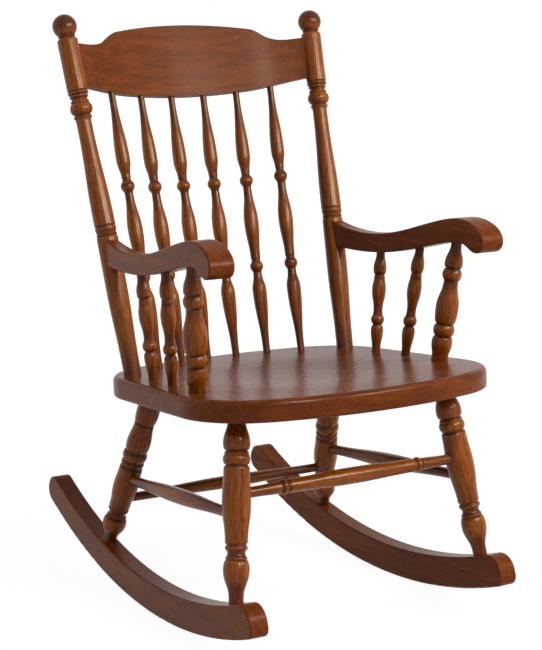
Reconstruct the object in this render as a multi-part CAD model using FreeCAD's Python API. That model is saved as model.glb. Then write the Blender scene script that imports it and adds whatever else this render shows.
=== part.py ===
import FreeCAD, Part
import math
import os
from FreeCAD import Vector

# A turned-spindle rocking chair, in millimetres. Z is up and Z = 0 is the floor. The front of the
# chair faces -Y, and X = 0 is its plane of symmetry. Y = 0 is halfway along the rockers. Left and
# right are those of someone who stands in front of the chair, so left is -X.

# Rockers
rocker_length = 857.0
rocker_radius = 1052.0
rocker_balance_y = -51.0
rocker_thickness = 36.0
rocker_depth_front = 60.0
rocker_depth_rear = 53.0
rocker_flat_length = 70.0
rocker_nose_top_round = 34.0
rocker_nose_bottom_round = 17.0
rocker_tail_round = 24.0
rocker_edge_round = 3.0
rocker_spread_front = 524.0
rocker_spread_rear = 494.0

# Seat
seat_height = 430.0
seat_tilt = 4.65
seat_thickness = 39.0
seat_front_y = -414.5
seat_rear_y = 186.0
seat_half_width_front = 313.0
seat_half_width_rear = 281.0
seat_front_bow_radius = 654.0
seat_rear_bow_radius = 850.0
seat_front_corner = 150.0
seat_rear_corner = 145.0
seat_top_round = 10.0
seat_bottom_round = 6.0
seat_dish_radius = 224.0
seat_dish_depth = 6.0
seat_dish_y = -140.0

# Legs: where each axis meets the underside of the seat, and where it meets the rocker
front_leg_top_x = 220.0
front_leg_top_y = -274.0
front_leg_foot_y = -341.0
rear_leg_top_x = 198.0
rear_leg_top_y = 70.0
rear_leg_foot_y = 169.0
leg_seat_tenon = 27.0
leg_rocker_tenon = 24.0

# Stretchers: height up each leg as a share of its length, counted from the seat
front_stretcher_share = 0.42
side_stretcher_front_share = 0.53
side_stretcher_rear_share = 0.578
rear_stretcher_share = 0.715
stretcher_tenon_from_axis = 7.0

# Back posts: where the axis meets the seat, the leans below and above the bend, and the lengths
post_x = 238.0
post_y = 78.0
post_lean_side = 3.15
post_lean_back_lower = 15.5
post_lean_back_upper = 17.5
post_lower_length = 276.0
post_upper_length = 389.0
post_seat_tenon = 26.0
post_diameter_at_arm = 40.5

# Crest rail, measured in the plane of the upper posts. Heights are along the posts, from the level
# of the tenons, and the outline's points are (distance from the middle, height).
crest_up_post = 313.0
crest_bow = 63.0
crest_thickness = 18.0
crest_top_middle = 89.0
crest_top_fall = [(151.0, 73.0), (160.0, 69.0), (179.0, 55.0), (199.0, 46.5), (224.0, 43.5)]
crest_top_end = 42.0
crest_bottom_middle = -53.5
crest_bottom_fall = [(145.0, -49.5), (186.0, -45.0), (226.0, -40.0)]
crest_bottom_end = -37.0
crest_tenon_thickness = 9.0
crest_tenon_height = 46.0
crest_tenon_length = 27.0
crest_tenon_from_axis = 6.0

# Back spindles, as pairs from the middle outwards
spindle_base_x = [32.0, 96.0, 160.0]
spindle_top_x = [36.0, 107.0, 178.0]
spindle_row_y = 158.0
spindle_row_radius = 341.0
spindle_aim_height = -50.0
spindle_seat_tenon = 16.0
spindle_crest_tenon = 14.0

# Arms: the heights are above the seat line at Y = 0
arm_rear_half_width = 13.0
arm_front_half_width = 25.0
arm_front_y = -334.0
arm_middle_front_x = 282.0
arm_edge_round = 3.5
arm_rear_top = 245.0
arm_rear_under = 194.0
# Side view from the top of the rear end, over the nose and back along the underside
arm_outline = [
    (42.0, 231.0), (-50.0, 239.0), (-150.0, 265.0), (-215.0, 283.0), (-268.0, 290.5),
    (-305.0, 283.5), (-327.0, 269.5), (arm_front_y, 255.0), (-331.0, 242.0), (-317.0, 232.5),
    (-299.0, 234.5), (-284.0, 242.0), (-265.0, 246.0), (-240.0, 243.5), (-150.0, 222.5),
    (-50.0, 201.0), (60.0, 192.0)]

# Arm posts and arm spindles: where each axis meets the seat, and its leans outwards and forwards
arm_post_x = 260.0
arm_post_y = -207.0
arm_post_lean_out = 5.2
arm_post_lean_forward = 5.3
arm_post_seat_tenon = 24.0
arm_post_arm_tenon = 18.0
arm_spindle_x = [246.0, 254.0]
arm_spindle_y = [-19.0, -106.0]
arm_spindle_lean_out = [4.8, 5.5]
arm_spindle_lean_forward = [-3.1, 4.2]
arm_spindle_seat_tenon = 18.0
arm_spindle_arm_tenon = 15.0

# Clearance that the glue fills between a tenon and its socket, on the radius, and how far the tool
# for a socket reaches out of the wood
glue_gap = 0.1
socket_reach = 40.0

# Screws, plugs and pins
screw_shank = 4.5
screw_head = 9.0
screw_head_height = 3.0
screw_head_rim = 0.8
screw_point = 6.0
screw_gap = 0.05
rocker_screw_length = 40.0
rocker_screw_recess = 12.0
rocker_screw_recess_diameter = 11.0
arm_screw_length = 62.0
arm_screw_recess = 11.0
arm_plug_diameter = 10.0
crest_pin_diameter = 5.0
crest_pin_length = 30.0

# Turned outlines. Each step is (form, distance from the start, diameter[, crown diameter]).
# line: straight. flow: a smooth S that is level at both ends. drop: leaves level and ends steep.
# rise: starts steep and ends level. arc: a bead, or a groove where the crown is the smaller.
front_leg_outline = [
    ("line", 0.0, 32.0), ("line", 8.0, 32.0), ("flow", 46.5, 47.5), ("drop", 58.0, 41.0),
    ("arc", 61.0, 40.5, 38.0), ("arc", 65.0, 41.5, 43.0), ("arc", 83.0, 41.5, 48.0),
    ("arc", 86.0, 42.0, 39.0), ("rise", 92.0, 45.5), ("flow", 147.0, 50.5), ("flow", 218.0, 39.5),
    ("arc", 223.0, 37.0, 35.0), ("arc", 230.0, 36.0, 39.5), ("arc", 241.0, 35.0, 31.0),
    ("arc", 247.0, 36.0, 38.0), ("rise", 264.0, 46.0), ("flow", 312.0, 26.0), ("line", 322.0, 26.0)]
rear_leg_outline = [
    ("line", 0.0, 32.0), ("line", 8.0, 32.0), ("flow", 40.0, 44.0), ("drop", 64.0, 39.0),
    ("arc", 68.0, 38.0, 35.5), ("flow", 112.0, 46.0), ("drop", 126.0, 41.0),
    ("arc", 129.0, 41.0, 38.5), ("arc", 148.0, 41.0, 47.0), ("arc", 151.0, 41.0, 38.0),
    ("arc", 160.0, 40.0, 44.0), ("arc", 163.0, 40.5, 37.5), ("rise", 170.0, 44.5),
    ("flow", 205.0, 48.0), ("flow", 254.0, 40.0), ("arc", 258.0, 37.0, 35.0),
    ("arc", 264.0, 36.0, 39.5), ("arc", 273.0, 35.0, 31.5), ("arc", 279.0, 36.0, 38.0),
    ("rise", 293.0, 45.5), ("flow", 324.0, 27.0), ("line", 333.0, 27.0)]
post_lower_outline = [
    ("line", 0.0, 33.0), ("line", 8.0, 33.0), ("flow", 170.0, post_diameter_at_arm),
    ("line", 258.0, post_diameter_at_arm), ("drop", 262.0, 36.0), ("arc", 267.0, 36.0, 39.5),
    ("arc", 272.0, 37.0, 34.5), ("line", 276.0, 40.0)]
post_upper_outline = [
    ("line", 0.0, 40.0), ("arc", 3.0, 40.0, 40.6), ("arc", 5.5, 40.0, 37.5), ("line", 7.0, 40.5),
    ("flow", 199.0, 29.0), ("arc", 211.0, 31.0, 29.0), ("arc", 216.0, 33.0, 35.0),
    ("arc", 219.5, 33.0, 30.5), ("arc", 241.0, 33.0, 43.0), ("arc", 246.0, 32.0, 36.0),
    ("arc", 251.0, 32.0, 29.5), ("arc", 255.0, 34.0, 36.0), ("arc", 258.0, 38.0, 34.0),
    ("arc", 262.0, 38.5, 40.0), ("arc", 264.5, 38.5, 36.0), ("line", 266.0, 39.5),
    ("line", 361.0, 39.5), ("arc", 365.0, 33.0, 38.5), ("arc", 368.0, 31.0, 29.0),
    ("arc", 372.0, 29.0, 33.0)]
post_ball_diameter = 46.5
spindle_outline = [
    ("line", 0.0, 14.3), ("line", 6.0, 14.3), ("flow", 123.0, 28.0), ("flow", 155.0, 17.5),
    ("arc", 161.0, 19.0, 17.0), ("arc", 179.0, 19.0, 26.5), ("arc", 186.0, 19.5, 17.5),
    ("flow", 258.0, 29.0), ("flow", 324.0, 16.8), ("arc", 332.0, 19.0, 16.6),
    ("arc", 350.0, 19.0, 27.0), ("arc", 357.0, 18.0, 16.6), ("flow", 391.0, 27.0),
    ("flow", 510.0, 13.1), ("line", 518.0, 13.1)]
arm_spindle_outline = [
    ("line", 0.0, 16.6), ("line", 5.0, 16.6), ("flow", 43.0, 24.4), ("drop", 52.0, 19.5),
    ("arc", 55.5, 19.5, 17.5), ("arc", 73.0, 19.0, 26.0), ("flow", 82.0, 17.6),
    ("flow", 123.0, 27.3), ("flow", 151.0, 21.0), ("arc", 154.5, 21.0, 19.0),
    ("rise", 166.0, 25.4), ("flow", 193.0, 16.6), ("line", 198.0, 16.6)]
arm_post_outline = [
    ("line", 0.0, 31.0), ("line", 7.0, 31.0), ("flow", 33.0, 39.0), ("drop", 45.0, 34.5),
    ("arc", 48.5, 34.0, 31.0), ("arc", 69.0, 34.0, 40.0), ("arc", 72.5, 35.0, 32.0),
    ("rise", 102.0, 43.0), ("flow", 150.0, 27.5), ("arc", 155.0, 29.0, 27.0),
    ("arc", 176.0, 29.5, 36.5), ("arc", 179.0, 30.0, 27.5), ("rise", 186.0, 34.0),
    ("flow", 222.0, 20.0), ("line", 228.0, 20.0)]
front_stretcher_outline = [
    ("line", 0.0, 19.0), ("line", 30.0, 19.0), ("flow", 82.0, 21.5), ("arc", 85.0, 22.0, 19.5),
    ("arc", 96.0, 22.0, 27.5), ("arc", 99.0, 22.5, 20.0), ("rise", 104.0, 24.5),
    ("flow", 239.0, 30.0)]
side_stretcher_outline = [("line", 0.0, 19.0), ("line", 30.0, 19.0), ("flow", 219.0, 29.0)]
rear_stretcher_outline = [("line", 0.0, 17.0), ("line", 30.0, 17.0), ("flow", 230.0, 25.0)]


def lean(side, back):
    """Unit direction that rises with the given leans from upright, in degrees."""
    v = Vector(math.tan(math.radians(side)), math.tan(math.radians(back)), 1.0)
    return v.normalize()


def mirrored(shape):
    """The same shape on the other side of the plane of symmetry."""
    return shape.mirror(Vector(0, 0, 0), Vector(1, 0, 0))


def placed_along(shape, start, direction):
    """A shape that was made along Z from the origin, moved onto a line."""
    turn = FreeCAD.Rotation(Vector(0, 0, 1), direction)
    moved = shape.copy()
    moved.Placement = FreeCAD.Placement(start, turn)
    return moved


def cylinder(start, direction, length, diameter):
    """Round bar from a point along a direction."""
    return Part.makeCylinder(diameter / 2, length, start, direction)


def outline_edge(form, z0, r0, z1, r1, crown):
    """One stretch of a turned outline, in the XZ plane with X as the radius."""
    a = Vector(r0, 0, z0)
    b = Vector(r1, 0, z1)
    dz = z1 - z0
    if form == "line":
        return Part.makeLine(a, b)
    if form == "arc":
        return Part.Arc(a, Vector(crown, 0, (z0 + z1) / 2), b).toShape()
    handles = {
        "flow": (Vector(r0, 0, z0 + 0.45 * dz), Vector(r1, 0, z1 - 0.45 * dz)),
        "drop": (Vector(r0, 0, z0 + 0.55 * dz), Vector(r1 + 0.45 * (r0 - r1), 0, z1)),
        "rise": (Vector(r0 + 0.55 * (r1 - r0), 0, z0), Vector(r1, 0, z1 - 0.55 * dz))}
    curve = Part.BezierCurve()
    curve.setPoles([a, handles[form][0], handles[form][1], b])
    return curve.toShape()


class Turning:
    """A turned piece on the line from start to end, with a round tenon past each end."""

    def __init__(self, outline, start, end, tenon_start, tenon_end):
        self.start = start
        self.end = end
        self.length = start.distanceToPoint(end)
        self.direction = (end - start).normalize()
        self.tenon_start = tenon_start
        self.tenon_end = tenon_end
        self.outline = outline
        self.solid = placed_along(self.revolved(), self.start, self.direction)

    def revolved(self):
        """The solid of revolution along Z, with the outline stretched to this piece's length."""
        stretch = self.length / self.outline[-1][1]
        z = -self.tenon_start
        r = self.outline[0][2] / 2
        edges = [Part.makeLine(Vector(0, 0, z), Vector(r, 0, z))]
        for step in self.outline:
            z1 = step[1] * stretch
            r1 = step[2] / 2
            crown = step[3] / 2 if len(step) > 3 else None
            if z1 > z:
                edges.append(outline_edge(step[0], z, r, z1, r1, crown))
            z = z1
            r = r1
        top = self.length + self.tenon_end
        if self.tenon_end > 0:
            edges.append(Part.makeLine(Vector(r, 0, z), Vector(r, 0, top)))
        edges.append(Part.makeLine(Vector(r, 0, top), Vector(0, 0, top)))
        edges.append(Part.makeLine(Vector(0, 0, top), Vector(0, 0, -self.tenon_start)))
        face = Part.Face(Part.Wire(edges))
        return face.revolve(Vector(0, 0, 0), Vector(0, 0, 1), 360)

    def point(self, share):
        """The point on the axis at a share of the length from the start."""
        return self.start + self.direction * (self.length * share)

    def socket_start(self):
        """The tool for the hole that the start tenon is glued into."""
        bottom = self.start - self.direction * self.tenon_start
        return cylinder(bottom, self.direction, self.tenon_start + socket_reach,
                        self.outline[0][2] + 2 * glue_gap)

    def socket_end(self):
        """The tool for the hole that the end tenon is glued into."""
        bottom = self.end + self.direction * self.tenon_end
        return cylinder(bottom, self.direction * -1, self.tenon_end + socket_reach,
                        self.outline[-1][2] + 2 * glue_gap)


def both_halves(outline):
    """A whole outline from the half that ends at its middle."""
    middle = outline[-1][1]
    whole = list(outline)
    for i in range(len(outline) - 1, 0, -1):
        form = {"rise": "drop", "drop": "rise"}.get(outline[i][0], outline[i][0])
        previous = outline[i - 1]
        step = (form, 2 * middle - previous[1], previous[2])
        if len(outline[i]) > 3:
            step = step + (outline[i][3],)
        whole.append(step)
    return whole


# Places that several pieces share

def seat_top(x, y):
    """Point on the plane of the seat's top."""
    return Vector(x, y, seat_height - math.tan(math.radians(seat_tilt)) * y)


def seat_under(x, y):
    """Point on the underside of the seat."""
    drop = seat_thickness / math.cos(math.radians(seat_tilt))
    return seat_top(x, y) - Vector(0, 0, drop)


def rocker_run(y):
    """Distance from the balance point, front to back."""
    return y - rocker_balance_y


def rocker_depth(y):
    """Depth of the rocker's board at a place along it."""
    share = (y + rocker_length / 2) / rocker_length
    return rocker_depth_front + (rocker_depth_rear - rocker_depth_front) * share


def rocker_edge(y, up):
    """Point in the YZ plane on the arc that lies 'up' above the floor arc, square to it."""
    angle = math.asin(rocker_run(y) / rocker_radius)
    r = rocker_radius - up
    middle = rocker_radius - sagitta(rocker_radius, rocker_flat_length / 2)
    return Vector(0, rocker_balance_y + r * math.sin(angle), middle - r * math.cos(angle))


def rocker_x(y):
    """Distance of the rocker's middle from the plane of symmetry."""
    share = (y - front_leg_foot_y) / (rear_leg_foot_y - front_leg_foot_y)
    return (rocker_spread_front + (rocker_spread_rear - rocker_spread_front) * share) / 2


def rocker_top_point(y):
    """Point on the middle of the rocker's top at a given Y."""
    start = y
    for i in range(20):
        p = rocker_edge(start, rocker_depth(start))
        start = start + (y - p.y)
    p = rocker_edge(start, rocker_depth(start))
    return Vector(rocker_x(y), y, p.z)


# Pieces

def make_rocker():
    """Right rocker: a bent board with a round nose, turned in slightly to the rear.

    Its floor arc has a short flat at the balance point, on which the chair comes to rest.
    """
    half = rocker_length / 2
    rear_in = rocker_edge(half, 0).y - half
    y_front = -half
    y_rear = half - rear_in
    floor_arc = Part.Arc(rocker_edge(y_front, 0), rocker_edge(rocker_balance_y, 0),
                         rocker_edge(y_rear, 0)).toShape()
    top_front = rocker_edge(y_front, rocker_depth(y_front))
    top_middle = rocker_edge(rocker_balance_y, rocker_depth(rocker_balance_y))
    top_rear = rocker_edge(y_rear, rocker_depth(y_rear))
    top_arc = Part.Arc(top_rear, top_middle, top_front).toShape()
    nose = Part.makeLine(top_front, rocker_edge(y_front, 0))
    tail = Part.makeLine(rocker_edge(y_rear, 0), top_rear)
    face = Part.Face(Part.Wire([floor_arc, tail, top_arc, nose]))
    board = face.extrude(Vector(rocker_thickness, 0, 0))
    board.translate(Vector(-rocker_thickness / 2, 0, 0))
    corners = {"nose_top": (top_front, rocker_nose_top_round),
               "nose_bottom": (rocker_edge(y_front, 0), rocker_nose_bottom_round),
               "tail_bottom": (rocker_edge(y_rear, 0), rocker_tail_round),
               "tail_top": (top_rear, rocker_tail_round)}
    for place, radius in corners.values():
        edge = [e for e in board.Edges if is_cross_edge(e, place)]
        board = board.makeFillet(radius, edge)
    rim = [e for e in board.Edges if not spans_x(e)]
    board = board.makeFillet(rocker_edge_round, rim)
    under_floor = Part.makeBox(2 * rocker_thickness, 2 * rocker_length, rocker_depth_front,
                               Vector(-rocker_thickness, -rocker_length, -rocker_depth_front))
    board = board.cut(under_floor).Solids[0]
    toe = math.degrees(math.atan2(rocker_x(0) - rocker_x(100), 100.0))
    board.rotate(Vector(0, 0, 0), Vector(0, 0, 1), toe)
    board.translate(Vector(rocker_x(0), 0, 0))
    return board


def spans_x(edge):
    """Whether an edge runs across the board."""
    return edge.BoundBox.XLength > 1.0


def is_cross_edge(edge, place):
    """Whether an edge runs across the board through a corner of its side view."""
    box = edge.BoundBox
    near = abs(box.Center.y - place.y) < 0.5 and abs(box.Center.z - place.z) < 0.5
    return spans_x(edge) and near


def make_seat():
    """Seat board with bowed edges, round corners and a shallow dish."""
    front_sag = sagitta(seat_front_bow_radius, seat_half_width_front)
    rear_sag = sagitta(seat_rear_bow_radius, seat_half_width_rear)
    fl = Vector(-seat_half_width_front, seat_front_y + front_sag, 0)
    fr = Vector(seat_half_width_front, seat_front_y + front_sag, 0)
    rl = Vector(-seat_half_width_rear, seat_rear_y - rear_sag, 0)
    rr = Vector(seat_half_width_rear, seat_rear_y - rear_sag, 0)
    edges = [Part.Arc(fl, Vector(0, seat_front_y, 0), fr).toShape(), Part.makeLine(fr, rr),
             Part.Arc(rr, Vector(0, seat_rear_y, 0), rl).toShape(), Part.makeLine(rl, fl)]
    board = Part.Face(Part.Wire(edges)).extrude(Vector(0, 0, -seat_thickness))
    upright = [e for e in board.Edges if e.BoundBox.ZLength > seat_thickness / 2]
    front = [e for e in upright if e.BoundBox.Center.y < 0]
    rear = [e for e in upright if e.BoundBox.Center.y > 0]
    board = board.makeFillet(seat_front_corner, front)
    rear = [e for e in board.Edges if any(same_place(e, r) for r in rear)]
    board = board.makeFillet(seat_rear_corner, rear)
    top = [e for e in board.Edges if e.BoundBox.ZMin > -0.01]
    board = board.makeFillet(seat_top_round, top)
    under = [e for e in board.Edges if e.BoundBox.ZMax < -seat_thickness + 0.01]
    board = board.makeFillet(seat_bottom_round, under)
    board = board.cut(make_dish())
    board.rotate(Vector(0, 0, 0), Vector(1, 0, 0), -seat_tilt)
    board.translate(Vector(0, 0, seat_height))
    return board


def same_place(a, b):
    """Whether two edges have the same middle."""
    return a.BoundBox.Center.distanceToPoint(b.BoundBox.Center) < 0.01


def sagitta(radius, half_chord):
    """Rise of an arc over its chord."""
    return radius - math.sqrt(radius ** 2 - half_chord ** 2)


def make_dish():
    """The hollow that is scooped out of the seat, level at its rim and at its middle."""
    handle = 0.55 * seat_dish_radius
    curve = Part.BezierCurve()
    curve.setPoles([Vector(0, 0, -seat_dish_depth), Vector(handle, 0, -seat_dish_depth),
                    Vector(handle, 0, 0), Vector(seat_dish_radius, 0, 0)])
    floor = curve.toShape()
    rim = Vector(seat_dish_radius, 0, seat_dish_depth)
    middle = Vector(0, 0, seat_dish_depth)
    edges = [floor, Part.makeLine(Vector(seat_dish_radius, 0, 0), rim), Part.makeLine(rim, middle),
             Part.makeLine(middle, Vector(0, 0, -seat_dish_depth))]
    dish = Part.Face(Part.Wire(edges)).revolve(Vector(0, 0, 0), Vector(0, 0, 1), 360)
    dish.translate(Vector(0, seat_dish_y, 0))
    return dish


def make_post():
    """Right back post, as the lower and upper turnings that meet at the bend."""
    base = seat_top(post_x, post_y)
    low = lean(post_lean_side, post_lean_back_lower)
    high = lean(post_lean_side, post_lean_back_upper)
    bend = base + low * post_lower_length
    neck = post_upper_outline[-1][1]
    lower = Turning(post_lower_outline, base, bend, post_seat_tenon, 0)
    upper = Turning(post_upper_outline, bend, bend + high * neck, 0, 0)
    ball = Part.makeSphere(post_ball_diameter / 2, bend + high * post_upper_length)
    knuckle = Part.makeSphere(post_lower_outline[-1][2] / 2, bend)
    solid = lower.solid.fuse([knuckle, upper.solid, ball]).removeSplitter()
    return lower, bend, high, solid


def crest_frame(bend, high):
    """Origin and directions of the crest rail: up the back, and square to it towards the rear."""
    up = Vector(0, high.y, high.z).normalize()
    rearward = up.cross(Vector(1, 0, 0)) * -1
    if rearward.y < 0:
        rearward = rearward * -1
    at_post = bend + high * crest_up_post
    origin = Vector(0, at_post.y, at_post.z)
    return origin, up, rearward, at_post.x


def crest_point(frame, x, s, n):
    """Point of the crest rail's frame: across, up the back and towards the rear."""
    origin, up, rearward, half = frame
    return origin + Vector(x, 0, 0) + up * s + rearward * n


def crest_bow_radius(half):
    """Radius of the rail's bow in plan."""
    return (half ** 2 + crest_bow ** 2) / (2 * crest_bow)


def crest_set_back(frame, x):
    """How far the middle of the rail's thickness lies behind the posts at a place across it."""
    half = frame[3]
    return crest_bow - sagitta(crest_bow_radius(half), abs(x))


def crest_outline(frame, high):
    """Front view of the rail, as a wire in its frame, out to the axes of the posts."""
    half = frame[3]
    slope = high.x / math.hypot(high.y, high.z)

    def at(x, s):
        return crest_point(frame, x, s, 0)

    def side(sign):
        top_end = at(sign * (half + slope * crest_top_end), crest_top_end)
        low_end = at(sign * (half + slope * crest_bottom_end), crest_bottom_end)
        fall = Part.BSplineCurve()
        fall.interpolate([at(sign * x, s) for x, s in crest_top_fall] + [top_end])
        low = Part.BSplineCurve()
        low.interpolate([at(sign * x, s) for x, s in crest_bottom_fall] + [low_end])
        return [fall.toShape(), Part.makeLine(top_end, low_end), low.toShape()]

    def middle(height, fall):
        x, s = fall[0]
        return Part.Arc(at(-x, s), at(0, height), at(x, s)).toShape()

    edges = [middle(crest_top_middle, crest_top_fall), middle(crest_bottom_middle, crest_bottom_fall)]
    return Part.Wire(Part.__sortEdges__(edges + side(1) + side(-1)))


def bowed_board(frame, thickness, low, high):
    """Board of even thickness on the rail's bow, from one height to another."""
    radius = crest_bow_radius(frame[3])
    middle = crest_point(frame, 0, low, crest_bow - radius)
    outer = Part.makeCylinder(radius + thickness / 2, high - low, middle, frame[1])
    inner = Part.makeCylinder(radius - thickness / 2, high - low, middle, frame[1])
    return outer.cut(inner)


def make_crest(frame, high):
    """Crest rail as a whole board, before its ends are fitted to the posts."""
    rearward = frame[2]
    face = Part.Face(crest_outline(frame, high))
    face.translate(rearward * -crest_bow)
    block = face.extrude(rearward * (3 * crest_bow))
    board = bowed_board(frame, crest_thickness, crest_bottom_middle - crest_thickness,
                        crest_top_middle + crest_thickness)
    return board.common(block).Solids[0]


def make_crest_tenon(frame, extra):
    """Both end tenons of the rail, or with some extra the mortises that hold them."""
    band = bowed_board(frame, crest_tenon_thickness + 2 * extra,
                       -crest_tenon_height / 2 - extra, crest_tenon_height / 2 + extra)
    outer = crest_tenon_end(frame) + extra
    inner = crest_tenon_end(frame) - crest_tenon_length
    reach = 2 * crest_tenon_height
    tenons = []
    for sign in (-1, 1):
        low = crest_point(frame, min(sign * inner, sign * outer), 0, 0) - Vector(0, reach, reach)
        tenons.append(band.common(Part.makeBox(outer - inner, 2 * reach, 2 * reach, low)))
    return tenons


def crest_tenon_end(frame):
    """Distance of the end of a crest tenon from the plane of symmetry."""
    return frame[3] - crest_tenon_from_axis


def arm_height(above):
    """Height over the floor of a level given above the seat line."""
    return seat_height + above


def arm_side_view(rear_y):
    """Side view of the arm, as a face in the YZ plane."""
    first = Vector(0, rear_y, arm_height(arm_rear_top))
    last = Vector(0, rear_y, arm_height(arm_rear_under))
    outline = Part.BSplineCurve()
    outline.interpolate([first] + [Vector(0, y, arm_height(z)) for y, z in arm_outline] + [last])
    return Part.Face(Part.Wire([outline.toShape(), Part.makeLine(last, first)]))


def arm_plan(rear_x, rear_y):
    """Plan of the right arm, which widens evenly from the back post to just past the nose."""
    rear = rear_y + arm_edge_round
    front = arm_front_y - arm_edge_round
    corners = [Vector(rear_x - arm_rear_half_width, rear, 0),
               Vector(rear_x + arm_rear_half_width, rear, 0),
               Vector(arm_middle_front_x + arm_front_half_width, front, 0),
               Vector(arm_middle_front_x - arm_front_half_width, front, 0)]
    return Part.Face(Part.makePolygon(corners + [corners[0]]))


def make_arm(lower_post):
    """Right arm, fitted round the back post and rounded along its long edges."""
    level = arm_height((arm_rear_top + arm_rear_under) / 2)
    along = (level - lower_post.start.z) / lower_post.direction.z
    rear = lower_post.start + lower_post.direction * along
    slab = arm_side_view(rear.y).extrude(Vector(2 * arm_middle_front_x, 0, 0))
    plan = arm_plan(rear.x, rear.y).extrude(Vector(0, 0, 2 * arm_height(arm_rear_top)))
    arm = slab.common(plan).Solids[0]
    post_bar = cylinder(lower_post.start, lower_post.direction, lower_post.length,
                        post_diameter_at_arm)
    arm = arm.cut(post_bar).Solids[0]
    long_edges = [e for e in arm.Edges if e.BoundBox.YLength > (rear.y - arm_front_y) / 2]
    return arm.makeFillet(arm_edge_round, long_edges), rear


def entry(solid, start, direction, reach):
    """Where a line from outside first meets a solid."""
    inside = solid.common(Part.makeLine(start, start + direction * reach))
    return min((v.Point for v in inside.Vertexes), key=lambda p: p.distanceToPoint(start))


def screw(head_face, direction, length):
    """Wood screw: a flat round head that narrows to the shank, with a short point."""
    shank_r = screw_shank / 2
    head_r = screw_head / 2
    corners = [(0, 0), (head_r, 0), (head_r, screw_head_rim), (shank_r, screw_head_height),
               (shank_r, length - screw_point), (0, length)]
    wire = Part.makePolygon([Vector(r, 0, z) for r, z in corners] + [Vector(0, 0, 0)])
    solid = Part.Face(wire).revolve(Vector(0, 0, 0), Vector(0, 0, 1), 360)
    return placed_along(solid, head_face, direction)


def screw_hole(head_face, direction, length, recess, recess_diameter):
    """The pilot hole, countersink and recess that one screw sits in."""
    shank = cylinder(head_face, direction, length, screw_shank + 2 * screw_gap)
    cone = Part.makeCone(screw_head / 2 + screw_gap, screw_shank / 2 + screw_gap,
                         screw_head_height - screw_head_rim,
                         head_face + direction * screw_head_rim, direction)
    seat = cylinder(head_face, direction, screw_head_rim, screw_head + 2 * screw_gap)
    well = cylinder(head_face, direction * -1, recess, recess_diameter)
    return [shank, cone, seat, well]


def make_rods(arm):
    """The right arm's post and its two spindles, each up to the arm's underside."""
    plans = {"arm_post": (arm_post_outline, arm_post_x, arm_post_y, arm_post_lean_out,
                          arm_post_lean_forward, arm_post_seat_tenon, arm_post_arm_tenon)}
    for i, name in enumerate(("arm_spindle_rear", "arm_spindle_front")):
        plans[name] = (arm_spindle_outline, arm_spindle_x[i], arm_spindle_y[i], arm_spindle_lean_out[i],
                       arm_spindle_lean_forward[i], arm_spindle_seat_tenon, arm_spindle_arm_tenon)
    rods = {}
    for name, (outline, x, y, out, forward, low_tenon, high_tenon) in plans.items():
        start = seat_top(x, y)
        top = entry(arm, start, lean(out, -forward), seat_height)
        rods[name] = Turning(outline, start, top, low_tenon, high_tenon)
    return rods


def make_spindles(frame, crest):
    """The right half of the back spindles, from the middle outwards."""
    spindles = []
    for base_x, top_x in zip(spindle_base_x, spindle_top_x):
        base = seat_top(base_x, spindle_row_y - sagitta(spindle_row_radius, base_x))
        aim = crest_point(frame, top_x, spindle_aim_height, crest_set_back(frame, top_x))
        top = entry(crest, base, (aim - base).normalize(), 2 * seat_height)
        spindles.append(Turning(spindle_outline, base, top, spindle_seat_tenon, spindle_crest_tenon))
    return spindles


def make_stretchers(front_leg, rear_leg):
    """The front, rear and right side stretchers, each from one leg's middle to the other's."""
    def between(outline, a, b):
        inset = (b - a).normalize() * stretcher_tenon_from_axis
        return Turning(both_halves(outline), a + inset, b - inset, 0, 0)

    front_at = front_leg.point(front_stretcher_share)
    rear_at = rear_leg.point(rear_stretcher_share)
    front = between(front_stretcher_outline, Vector(-front_at.x, front_at.y, front_at.z), front_at)
    rear = between(rear_stretcher_outline, Vector(-rear_at.x, rear_at.y, rear_at.z), rear_at)
    side = between(side_stretcher_outline, front_leg.point(side_stretcher_front_share),
                   rear_leg.point(side_stretcher_rear_share))
    return front, rear, side


def cut_all(solid, tools):
    """The solid without the tools, as one solid."""
    left = solid.cut(tools)
    return max(left.Solids, key=lambda s: s.Volume)


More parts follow.
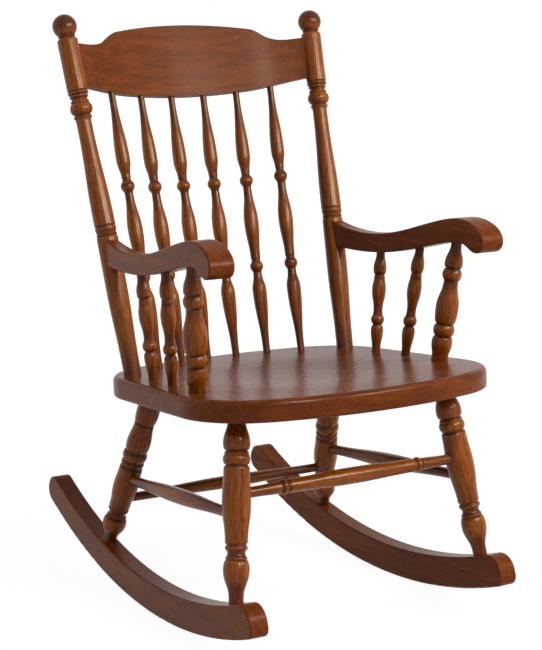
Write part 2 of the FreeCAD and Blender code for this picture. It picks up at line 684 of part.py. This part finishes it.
def build():
    """Make every piece in its place and return them by name."""
    seat = make_seat()
    rocker = make_rocker()
    front_leg = Turning(front_leg_outline, seat_under(front_leg_top_x, front_leg_top_y),
                        rocker_top_point(front_leg_foot_y), leg_seat_tenon, leg_rocker_tenon)
    rear_leg = Turning(rear_leg_outline, seat_under(rear_leg_top_x, rear_leg_top_y),
                       rocker_top_point(rear_leg_foot_y), leg_seat_tenon, leg_rocker_tenon)
    front_stretcher, rear_stretcher, side_stretcher = make_stretchers(front_leg, rear_leg)
    lower, bend, high, whole_post = make_post()
    frame = crest_frame(bend, high)
    whole_crest = make_crest(frame, high)
    spindles = make_spindles(frame, whole_crest)
    arm, arm_rear = make_arm(lower)
    rods = make_rods(arm)

    # Screws from under the rockers into the feet of the legs
    rocker_holes = []
    rocker_screws = []
    foot_holes = []
    for leg in (front_leg, rear_leg):
        way_in = leg.direction * -1
        below = leg.end + leg.direction * (2 * rocker_depth_front)
        head = entry(rocker, below, way_in, 2 * rocker_depth_front) + way_in * rocker_screw_recess
        tools = screw_hole(head, way_in, rocker_screw_length, 2 * rocker_screw_recess,
                           rocker_screw_recess_diameter)
        rocker_holes += tools
        foot_holes.append(tools[0])
        rocker_screws.append(screw(head, way_in, rocker_screw_length))

    # Screws from behind the back posts into the arms, under a wood plug
    forward = Vector(0, -1, 0)
    post_back = entry(whole_post, arm_rear - forward * seat_rear_y, forward, seat_rear_y)
    arm_head = post_back + forward * arm_screw_recess
    arm_tools = screw_hole(arm_head, forward, arm_screw_length, 2 * arm_screw_recess,
                           arm_plug_diameter + 2 * glue_gap)
    arm_screw = screw(arm_head, forward, arm_screw_length)
    plug = cylinder(arm_head, forward * -1, 2 * arm_screw_recess, arm_plug_diameter)
    plug = plug.common(whole_post)

    # Crest rail tenons, mortises and pins
    tenons = make_crest_tenon(frame, 0.0)
    mortises = make_crest_tenon(frame, glue_gap)
    pin_from = crest_point(frame, crest_tenon_end(frame) - crest_tenon_length / 4, 0, crest_bow)
    pin_way = frame[2] * -1
    pin_back = entry(whole_post, pin_from, pin_way, crest_bow)
    pin_start = pin_back - pin_way * crest_pin_diameter
    pin_reach = crest_pin_length + crest_pin_diameter
    pin = cylinder(pin_start, pin_way, pin_reach, crest_pin_diameter).common(whole_post)
    pin_hole = cylinder(pin_start, pin_way, pin_reach, crest_pin_diameter + glue_gap)
    crest = cut_all(whole_crest, [whole_post, mirrored(whole_post)])
    crest = crest.fuse(tenons).removeSplitter()
    crest = cut_all(crest, [pin_hole, mirrored(pin_hole)] + both([s.socket_end() for s in spindles]))

    right_rods = [front_leg, rear_leg, lower] + list(rods.values()) + spindles
    seat = cut_all(seat, both([r.socket_start() for r in right_rods]))
    rocker = cut_all(rocker, [front_leg.socket_end(), rear_leg.socket_end()] + rocker_holes)
    front_leg_solid = cut_all(front_leg.solid, [front_stretcher.socket_end(),
                                                side_stretcher.socket_start(), foot_holes[0]])
    rear_leg_solid = cut_all(rear_leg.solid, [rear_stretcher.socket_end(),
                                              side_stretcher.socket_end(), foot_holes[1]])
    post = cut_all(whole_post, mortises + [pin_hole] + arm_tools)
    arm = cut_all(arm, [arm_tools[0]] + [r.socket_end() for r in rods.values()])

    pairs = {"rocker": rocker, "front_leg": front_leg_solid, "rear_leg": rear_leg_solid,
             "side_stretcher": side_stretcher.solid, "back_post": post, "arm": arm}
    for name, rod in rods.items():
        pairs[name] = rod.solid
    parts = {"seat": seat, "front_stretcher": front_stretcher.solid,
             "rear_stretcher": rear_stretcher.solid, "crest_rail": crest}
    for name, shape in pairs.items():
        parts[name + "_right"] = shape
        parts[name + "_left"] = mirrored(shape)
    count = len(spindles)
    for i, spindle in enumerate(spindles):
        parts["back_spindle_%d" % (count + 1 + i)] = spindle.solid
        parts["back_spindle_%d" % (count - i)] = mirrored(spindle.solid)
    parts["rocker_screws"] = Part.makeCompound(both(rocker_screws))
    parts["arm_screws"] = Part.makeCompound(both([arm_screw]))
    parts["arm_screw_plugs"] = Part.makeCompound(both([plug]))
    parts["crest_pins"] = Part.makeCompound(both([pin]))
    return parts


def both(shapes):
    """The shapes and their mirror images."""
    return shapes + [mirrored(s) for s in shapes]


def report(parts):
    """Print the overall size, and where the chair's weight lies fore and aft."""
    box = Part.makeCompound(list(parts.values())).optimalBoundingBox(False)
    print("size", round(box.XLength, 1), round(box.YLength, 1), round(box.ZLength, 1))
    print("from", round(box.XMin, 1), round(box.YMin, 1), round(box.ZMin, 2))
    volume = sum(s.Volume for p in parts.values() for s in p.Solids)
    moment = sum((s.CenterOfMass * s.Volume for p in parts.values() for s in p.Solids), Vector())
    centre = moment * (1 / volume)
    print("volume", round(volume / 1e6, 3), "litres; centre", round(centre.y, 1), round(centre.z, 1))
    for name, part in sorted(parts.items()):
        if not part.isValid():
            print("not valid", name)


os.makedirs("parts", exist_ok=True)
chair = build()
report(chair)
for node, shape in chair.items():
    shape.exportStep("parts/" + node + ".step")
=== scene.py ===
import math
import bpy
import numpy as np
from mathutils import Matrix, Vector


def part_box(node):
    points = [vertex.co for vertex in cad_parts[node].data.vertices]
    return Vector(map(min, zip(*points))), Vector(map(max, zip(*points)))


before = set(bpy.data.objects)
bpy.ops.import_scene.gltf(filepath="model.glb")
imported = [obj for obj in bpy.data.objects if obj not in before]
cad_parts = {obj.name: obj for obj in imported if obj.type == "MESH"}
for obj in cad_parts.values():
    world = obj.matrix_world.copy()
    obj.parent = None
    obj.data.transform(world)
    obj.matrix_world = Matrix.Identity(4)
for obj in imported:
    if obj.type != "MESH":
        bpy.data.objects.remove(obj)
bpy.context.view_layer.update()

# A stained and lacquered rocking chair. Z is up, the front faces -Y, and left is -X. The
# carried-over solids keep their shapes, and each gets a finish with the grain along its own wood.

UP = Vector((0, 0, 1))


def colour(red, green, blue):
    """Colour of a swatch that is read as 0 to 255."""
    levels = []
    for level in (red, green, blue):
        share = level / 255
        levels.append(share / 12.92 if share <= 0.04045 else ((share + 0.055) / 1.055) ** 2.4)
    return (*levels, 1.0)


# Stains and lacquer, as swatches
AMBER = colour(160, 88, 12)
AMBER_DEEP = colour(96, 43, 7)
# Dark glaze and painted shade, for a turning's grooves, ends and slim parts
GLAZE_AND_SHADE = colour(66, 25, 7)
PORE = colour(44, 16, 4)
CREST_LIGHT = colour(122, 62, 18)
CREST_DEEP = colour(92, 43, 12)
BOARD_LIGHT = colour(122, 62, 18)
BOARD_DEEP = colour(92, 40, 8)
SEAT_LIGHT = colour(118, 58, 16)
SEAT_DEEP = colour(84, 38, 9)
# Pale rubbed wear and a painted highlight, for the edges of boards and the crest rail
EDGE_WEAR_AND_HIGHLIGHT = colour(180, 112, 52)
ZINC_LIGHT = colour(150, 150, 148)
ZINC_DARK = colour(110, 108, 104)

# The lacquer, then in metres the depth of the pores and how unevenly the glaze and painted shade
# lie, and how much glaze and painted shade darken a turning where it is slim
LACQUER_IOR = 1.4
COAT_ROUGHNESS = 0.15
PORE_DEPTH = 0.0002
GLAZE_AND_SHADE_WOBBLE = 0.003
SLIM_GLAZE_AND_SHADE = 0.62

# How far rubbed wear and a painted highlight reach in from an edge of a board, and the rounding of
# the crest rail's edges
EDGE_WEAR_AND_HIGHLIGHT_WIDTH = 0.005
CREST_ROUNDING = 0.002

# The floor: its reach, the share of it that looks white under the chair, and from where to where
# that share rises until nothing but white is left
FLOOR_RADIUS = 40.0
FLOOR_DROP = 0.0005
FLOOR_WHITE_SHARE = 0.84
FLOOR_WHITE_LEVEL = 1.12
FLOOR_BLEND_START = 0.9
FLOOR_BLEND_END = 3.0

# The surroundings as they light the chair, and as they look
ROOM_LIGHT = 0.14
ROOM_LOOKS = 1.0

# Soft boxes: place, width, height, power, tint, and whether each lights the wood and shows in gloss
LIGHT_AIM = Vector((0, -0.1, 0.55))
WHITE = (1.0, 1.0, 1.0)
WARM = (1.0, 0.86, 0.70)
LIGHTS = {
    "key_light": ((2.2, -1.9, 2.3), 1.0, 1.8, 86, WHITE, True, False),
    "left_light": ((-2.4, 1.6, 1.8), 1.0, 1.8, 42, WHITE, True, False),
    "front_light": ((0.2, -3.1, 2.3), 0.4, 1.3, 58, WARM, True, True),
    "gloss_strip": ((0.1, -3.2, 2.35), 0.25, 1.2, 60, WARM, False, True),
    "sheen_box": ((1.55, -2.55, 2.2), 0.9, 0.9, 100, WARM, False, True)}


class Signal:
    """A value on its way through a finish, on which sums can be done."""

    def __init__(self, finish, socket):
        self.finish = finish
        self.socket = socket

    def sum(self, operation, first, second):
        return self.finish.node("ShaderNodeMath", {"operation": operation}, {0: first, 1: second})

    def __add__(self, other):
        return self.sum("ADD", self, other)

    def __radd__(self, other):
        return self.sum("ADD", other, self)

    def __sub__(self, other):
        return self.sum("SUBTRACT", self, other)

    def __rsub__(self, other):
        return self.sum("SUBTRACT", other, self)

    def __mul__(self, other):
        return self.sum("MULTIPLY", self, other)

    def __rmul__(self, other):
        return self.sum("MULTIPLY", other, self)


class Finish:
    """The nodes of a material for one piece, or of the surroundings."""

    def __init__(self, owner):
        self.owner = owner
        owner.use_nodes = True
        self.tree = owner.node_tree
        self.tree.nodes.clear()

    def node(self, kind, settings, sockets, out=0):
        """Add a node. Its settings come first, and then each socket gets its value or its link."""
        made = self.tree.nodes.new(kind)
        for key, value in settings.items():
            if key == "stops":
                self.set_stops(made.color_ramp, value)
            else:
                setattr(made, key, value)
        for key, value in sockets.items():
            if isinstance(value, Signal):
                self.tree.links.new(value.socket, made.inputs[key])
            else:
                made.inputs[key].default_value = value
        return Signal(self, made.outputs[out]) if len(made.outputs) else None

    def set_stops(self, ramp, stops):
        """Give a ramp its stops, as (place, level) with the levels from 0 to 1."""
        ramp.interpolation = "EASE"
        while len(ramp.elements) > 1:
            ramp.elements.remove(ramp.elements[-1])
        for i, (place, level) in enumerate(stops):
            stop = ramp.elements[0] if i == 0 else ramp.elements.new(place)
            stop.position = place
            stop.color = (level, level, level, 1.0)

    def blend(self, first, second, share):
        """The first colour, passing into the second as the share rises."""
        return self.node("ShaderNodeMix", {"data_type": "RGBA"}, {0: share, 6: first, 7: second}, 2)

    def stretch(self, where, scale):
        """Coordinates drawn out or squeezed along each axis."""
        return self.node("ShaderNodeVectorMath", {"operation": "MULTIPLY"}, {0: where, 1: scale})

    def noise(self, where, scale, detail, roughness=0.55):
        """Cloudy levels about 0.5, with cells of one over the scale."""
        return self.node("ShaderNodeTexNoise", {}, {"Vector": where, "Scale": scale,
                         "Detail": detail, "Roughness": roughness})

    def between(self, level, low, high):
        """0 up to the low level, 1 from the high level, and a smooth rise between them."""
        return self.node("ShaderNodeMapRange", {"interpolation_type": "SMOOTHSTEP"},
                         {"Value": level, "From Min": low, "From Max": high})

    def place(self, origin, along):
        """Coordinates from the origin, with their Z along a direction."""
        here = self.node("ShaderNodeTexCoord", {}, {}, "Object")
        turn = UP.rotation_difference(Vector(along)).to_euler()
        return self.node("ShaderNodeMapping", {"vector_type": "TEXTURE"},
                         {"Vector": here, "Location": origin, "Rotation": turn})

    def part(self, vector, axis):
        """One part of a vector: X, Y or Z."""
        return self.node("ShaderNodeSeparateXYZ", {}, {0: vector}, axis)

    def shine(self, paint, roughness, height, level, coat, surface=None):
        """Close the finish: stained wood under lacquer, with its pores as fine relief."""
        relief = {"Strength": 0.4, "Distance": PORE_DEPTH, "Height": height}
        if surface:
            relief["Normal"] = surface
        bump = self.node("ShaderNodeBump", {}, relief)
        shader = self.node("ShaderNodeBsdfPrincipled", {}, {
            "Base Color": paint, "Roughness": roughness, "Normal": bump, "IOR": LACQUER_IOR,
            "Specular IOR Level": level, "Coat Weight": coat, "Coat Roughness": COAT_ROUGHNESS})
        self.node("ShaderNodeOutputMaterial", {}, {"Surface": shader})
        return self.owner


def new_finish(name):
    """Start the finish of a piece."""
    return Finish(bpy.data.materials.new(name))


def grain(finish, where):
    """Bands, streaks and pores of wood whose length is Z."""
    long = finish.stretch(where, (1, 1, 0.05))
    bands = finish.between(finish.noise(long, 75, 2), 0.36, 0.66)
    streaks = finish.between(finish.noise(long, 420, 4, 0.65), 0.36, 0.66)
    short = finish.stretch(where, (1, 1, 0.09))
    pores = finish.between(finish.noise(short, 1250, 2), 0.55, 0.68)
    return bands, streaks, pores


def turned_finish(name, origin, along, length, glaze_and_shade, thin, thick):
    """Amber turning, with dark glaze and painted shade in its grooves, at its ends and where it is
    thin.
    """
    finish = new_finish(name)
    where = finish.place(origin, along)
    bands, streaks, pores = grain(finish, where)
    rings = finish.node("ShaderNodeTexWave", {"bands_direction": "X"},
                        {"Vector": where, "Scale": 34.0, "Distortion": 3.0, "Detail": 2.0,
                         "Detail Scale": 12.0}, "Fac")
    wood = finish.blend(AMBER_DEEP, AMBER, streaks * 0.6 + bands * 0.25 + rings * 0.15)
    wood = finish.blend(wood, PORE, pores * 0.45)
    lines = finish.between(finish.noise(finish.stretch(where, (1, 1, 0.03)), 260, 3), 0.53, 0.7)
    wood = finish.blend(wood, PORE, lines * 0.35)
    blotches = finish.noise(where, 160, 3)
    uneven = (blotches - 0.5) * GLAZE_AND_SHADE_WOBBLE
    level = (finish.part(where, "Z") + uneven) * (1 / length)
    glaze_and_shade_mask = finish.node("ShaderNodeValToRGB", {"stops": glaze_and_shade_stops(length, glaze_and_shade)}, {0: level})
    across = finish.stretch(where, (1, 1, 0))
    radius = finish.node("ShaderNodeVectorMath", {"operation": "LENGTH"}, {0: across}, "Value")
    # Darker where the turning is slim: glaze and painted shade in its necks and tapers
    slim = 1 - finish.between(radius + uneven, thin, thick)
    glaze_and_shade_mask = finish.node("ShaderNodeMath", {"operation": "MAXIMUM"},
                       {0: glaze_and_shade_mask, 1: slim * SLIM_GLAZE_AND_SHADE})
    glaze_and_shade_mask = glaze_and_shade_mask * (0.7 + blotches * 0.6)
    # Glaze and painted shade darken the grooves, the ends and the slim parts
    wood = finish.blend(wood, GLAZE_AND_SHADE, glaze_and_shade_mask)
    roughness = 0.21 + streaks * 0.04 + glaze_and_shade_mask * 0.06
    return finish.shine(wood, roughness, streaks * 0.5 - pores, 0.2, 0.08)


def glaze_and_shade_stops(length, glaze_and_shade):
    """Ramp stops along a turning, from (place, half width, depth) of each band of glaze and painted
    shade in mm.
    """
    stops = []
    total = length * 1000
    for at, half, depth in glaze_and_shade:
        stops += [((at - half) / total, 0.0), (at / total, depth), ((at + half) / total, 0.0)]
    stops = [(min(max(place, 0.0), 1.0), level) for place, level in stops]
    # Both ends get glaze and painted shade, where the turning goes into its joints
    start = [(0.0, 0.75), (0.03, 0.45), (0.10, 0.0)]
    end = [(0.92, 0.0), (0.975, 0.45), (1.0, 0.75)]
    return start + stops + end


# Where the glaze and painted shade lie on each turning: the length of its tenon at the start, its
# length between the shoulders, the radius below which it stays dark and the one above which it is
# clear of them, and the place, half width and depth of each dark groove, all in mm
TURNINGS = {
    "front_leg": (27, 322, 15, 22, [(59.5, 5, 0.9), (85, 5, 0.95), (221, 5, 0.8), (238, 7, 0.9)]),
    "rear_leg": (27, 333, 15, 21, [(66, 5, 0.9), (128, 4, 0.9), (150, 3.5, 0.9), (162, 4, 0.9),
                                   (256, 5, 0.8), (270, 7, 0.9)]),
    "back_spindle": (16, 518, 7, 12.5, [(160, 9, 0.7), (182, 5, 0.9), (328, 9, 0.7),
                                        (354, 6, 0.9)]),
    "arm_spindle": (18, 198, 8, 12, [(54, 4.5, 0.9), (79, 7, 0.7), (153, 6, 0.8)]),
    "arm_post": (24, 228, 12, 19, [(47, 5, 0.9), (71, 5, 0.95), (154, 7, 0.7), (179, 5, 0.95)]),
    "front_stretcher": (0, 478, 8, 12, [(84, 3, 0.8), (98, 3, 0.8), (380, 3, 0.8), (394, 3, 0.8)]),
    "side_stretcher": (0, 438, 9, 14, []),
    "rear_stretcher": (0, 460, 8, 13, []),
    "back_post": (26, 665, 10, 16, [(265, 4, 0.9), (272, 3, 0.9), (281, 3, 0.9), (494, 5, 0.9),
                                    (526, 4, 0.95), (534, 4, 0.8), (540, 2, 0.9), (646, 6, 0.9)])}


def axis_of(node, downwards):
    """Where a turned piece starts, and its direction, from its own solid."""
    points = np.array([v.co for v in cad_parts[node].data.vertices])
    middle = points.mean(0)
    spread = np.cov((points - middle).T)
    along = np.linalg.eigh(spread)[1][:, 2]
    if along[np.argmax(abs(along))] < 0:
        along = -along
    if downwards:
        along = -along
    reach = (points - middle) @ along
    return Vector(middle + along * reach.min()), Vector(along)


def dress_turning(node):
    """Finish one turned piece."""
    kind = next(k for k in TURNINGS if node.startswith(k))
    tenon, length, thin, thick, glaze_and_shade = TURNINGS[kind]
    origin, along = axis_of(node, kind.endswith("leg"))
    origin = origin + along * (tenon / 1000)
    put_on(node, turned_finish("turned_wood_" + node, origin, along, length / 1000, glaze_and_shade,
                               thin / 1000, thick / 1000))


def put_on(node, material):
    """Put a finish on a carried-over solid."""
    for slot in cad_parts[node].material_slots:
        slot.material = material


def rounded_edges(finish, radius, low):
    """The surface with its edges rounded off, and how far a spot lies on such an edge."""
    softened = finish.node("ShaderNodeBevel", {"samples": 8}, {"Radius": radius})
    flat = finish.node("ShaderNodeTexCoord", {}, {}, "Normal")
    agree = finish.node("ShaderNodeVectorMath", {"operation": "DOT_PRODUCT"},
                        {0: softened, 1: flat}, "Value")
    return softened, 1 - finish.between(agree, low, 0.99)


def board_finish(name, origin, along, light, deep, level, coat, wear_and_highlight_share):
    """Sawn board with its grain along a direction, paler in patches along its edges as rubbed wear
    and a painted highlight.
    """
    finish = new_finish(name)
    where = finish.place(origin, along)
    bands, streaks, pores = grain(finish, where)
    wood = finish.blend(deep, light, streaks * 0.5 + bands * 0.5)
    wood = finish.blend(wood, PORE, pores * 0.45)
    edge = rounded_edges(finish, EDGE_WEAR_AND_HIGHLIGHT_WIDTH, 0.85)[1]
    # Patchy pale band along the edges: rubbed wear and a painted highlight
    wear_and_highlight = edge * finish.between(finish.noise(where, 60, 3), 0.3, 0.6)
    wood = finish.blend(wood, EDGE_WEAR_AND_HIGHLIGHT, wear_and_highlight * wear_and_highlight_share)
    roughness = 0.24 + streaks * 0.06 - wear_and_highlight * 0.05
    return finish.shine(wood, roughness, streaks * 0.5 - pores, level, coat)


def crest_finish(middle):
    """Crest rail, with short fine grain from side to side, and its edges rounded and pale: rubbed
    wear and a painted highlight.
    """
    finish = new_finish("crest_wood")
    where = finish.place(middle, (1, 0, 0))
    bands, streaks, pores = grain(finish, where)
    lines = finish.between(finish.noise(finish.stretch(where, (1, 1, 0.06)), 520, 3), 0.54, 0.68)
    wood = finish.blend(CREST_DEEP, CREST_LIGHT, streaks * 0.45 + bands * 0.55)
    wood = finish.blend(wood, PORE, lines * 0.4)
    wood = finish.blend(wood, PORE, pores * 0.3)
    softened, edge = rounded_edges(finish, CREST_ROUNDING, 0.72)
    # Pale band along the rounded edges: rubbed wear and a painted highlight
    wood = finish.blend(wood, EDGE_WEAR_AND_HIGHLIGHT, edge * 0.55)
    return finish.shine(wood, 0.42 + streaks * 0.05, streaks * 0.5 - pores, 0.12, 0.02, softened)


def steel_finish():
    """Dull zinc of the screws."""
    finish = new_finish("screw_steel")
    where = finish.node("ShaderNodeTexCoord", {}, {}, "Object")
    patches = finish.noise(where, 900, 3)
    metal = finish.blend(ZINC_LIGHT, ZINC_DARK, patches)
    shader = finish.node("ShaderNodeBsdfPrincipled", {}, {
        "Base Color": metal, "Metallic": 1.0, "Roughness": 0.3 + patches * 0.2})
    finish.node("ShaderNodeOutputMaterial", {}, {"Surface": shader})
    return finish.owner


def dress_chair():
    """Give every carried-over solid its finish."""
    steel = steel_finish()
    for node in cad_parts:
        middle = (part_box(node)[0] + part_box(node)[1]) / 2
        if any(node.startswith(k) for k in TURNINGS):
            dress_turning(node)
        elif node == "seat":
            put_on(node, board_finish("seat_wood", middle, (1, 0, 0), SEAT_LIGHT, SEAT_DEEP,
                                      0.08, 0.06, 0.15))
        elif node == "crest_rail":
            put_on(node, crest_finish(middle))
        elif node.endswith("screws"):
            put_on(node, steel)
        else:
            put_on(node, board_finish("board_wood_" + node, middle, (0, 1, 0), BOARD_LIGHT,
                                      BOARD_DEEP, 0.08, 0.02, 0.5))


def seen_white(finish):
    """1 for the camera and for what shows in gloss or glass."""
    rays = [finish.node("ShaderNodeLightPath", {}, {}, "Is %s Ray" % kind)
            for kind in ("Camera", "Glossy", "Transmission")]
    return rays[0] + rays[1] + rays[2]


def make_floor():
    """Pale floor that looks white but keeps a faint shadow of the chair."""
    bpy.ops.object.select_all(action="DESELECT")
    bpy.ops.mesh.primitive_circle_add(vertices=96, radius=FLOOR_RADIUS, fill_type="NGON",
                                      location=(0, 0, -FLOOR_DROP))
    floor = bpy.context.object
    floor.name = "floor"
    finish = new_finish("pale_floor")
    matt = finish.node("ShaderNodeBsdfDiffuse", {}, {"Color": (0.62, 0.62, 0.62, 1)})
    white = finish.node("ShaderNodeEmission", {},
                        {"Color": (1, 1, 1, 1), "Strength": FLOOR_WHITE_LEVEL})
    where = finish.node("ShaderNodeTexCoord", {}, {}, "Object")
    radius = finish.node("ShaderNodeVectorMath", {"operation": "LENGTH"}, {0: where}, "Value")
    away = finish.between(radius, FLOOR_BLEND_START, FLOOR_BLEND_END)
    pure = FLOOR_WHITE_SHARE + away * (1 - FLOOR_WHITE_SHARE)
    share = finish.between(seen_white(finish), 0.0, 1.0) * pure
    mixed = finish.node("ShaderNodeMixShader", {}, {0: share, 1: matt, 2: white})
    finish.node("ShaderNodeOutputMaterial", {}, {"Surface": mixed})
    floor.data.materials.append(finish.owner)


def make_world():
    """Even white surroundings, softer on the chair than they look."""
    world = bpy.data.worlds.new("white_room")
    bpy.context.scene.world = world
    room = Finish(world)
    shown = room.between(seen_white(room), 0.0, 1.0)
    level = ROOM_LIGHT + shown * (ROOM_LOOKS - ROOM_LIGHT)
    sky = room.node("ShaderNodeBackground", {}, {"Color": (1, 1, 1, 1), "Strength": level})
    room.node("ShaderNodeOutputWorld", {}, {"Surface": sky})


def soft_light(name, place, width, height, power, tint, lights, shows):
    """Soft box that points at the chair. It lights the wood, shows in its lacquer, or both."""
    lamp = bpy.data.lights.new(name, "AREA")
    lamp.shape = "RECTANGLE"
    lamp.size = width
    lamp.size_y = height
    lamp.energy = power
    lamp.color = tint
    box = bpy.data.objects.new(name, lamp)
    bpy.context.scene.collection.objects.link(box)
    box.location = place
    towards = LIGHT_AIM - Vector(place)
    box.rotation_euler = towards.to_track_quat("-Z", "Y").to_euler()
    box.visible_camera = False
    box.visible_diffuse = lights
    box.visible_glossy = shows


def make_camera():
    """The photograph's camera, low on the chair's front left."""
    data = bpy.data.cameras.new("camera")
    data.lens = 105.96
    data.sensor_width = 36.0
    data.shift_x = -0.0015
    data.shift_y = -0.0034
    camera = bpy.data.objects.new("camera", data)
    bpy.context.scene.collection.objects.link(camera)
    camera.location = (-1.8433, -3.0323, 1.1836)
    camera.rotation_euler = (math.radians(79.25), 0, math.radians(-31.56))
    bpy.context.scene.camera = camera


bpy.context.scene.view_settings.view_transform = "Standard"
make_camera()
make_world()
make_floor()
for name, settings in LIGHTS.items():
    soft_light(name, *settings)
dress_chair()
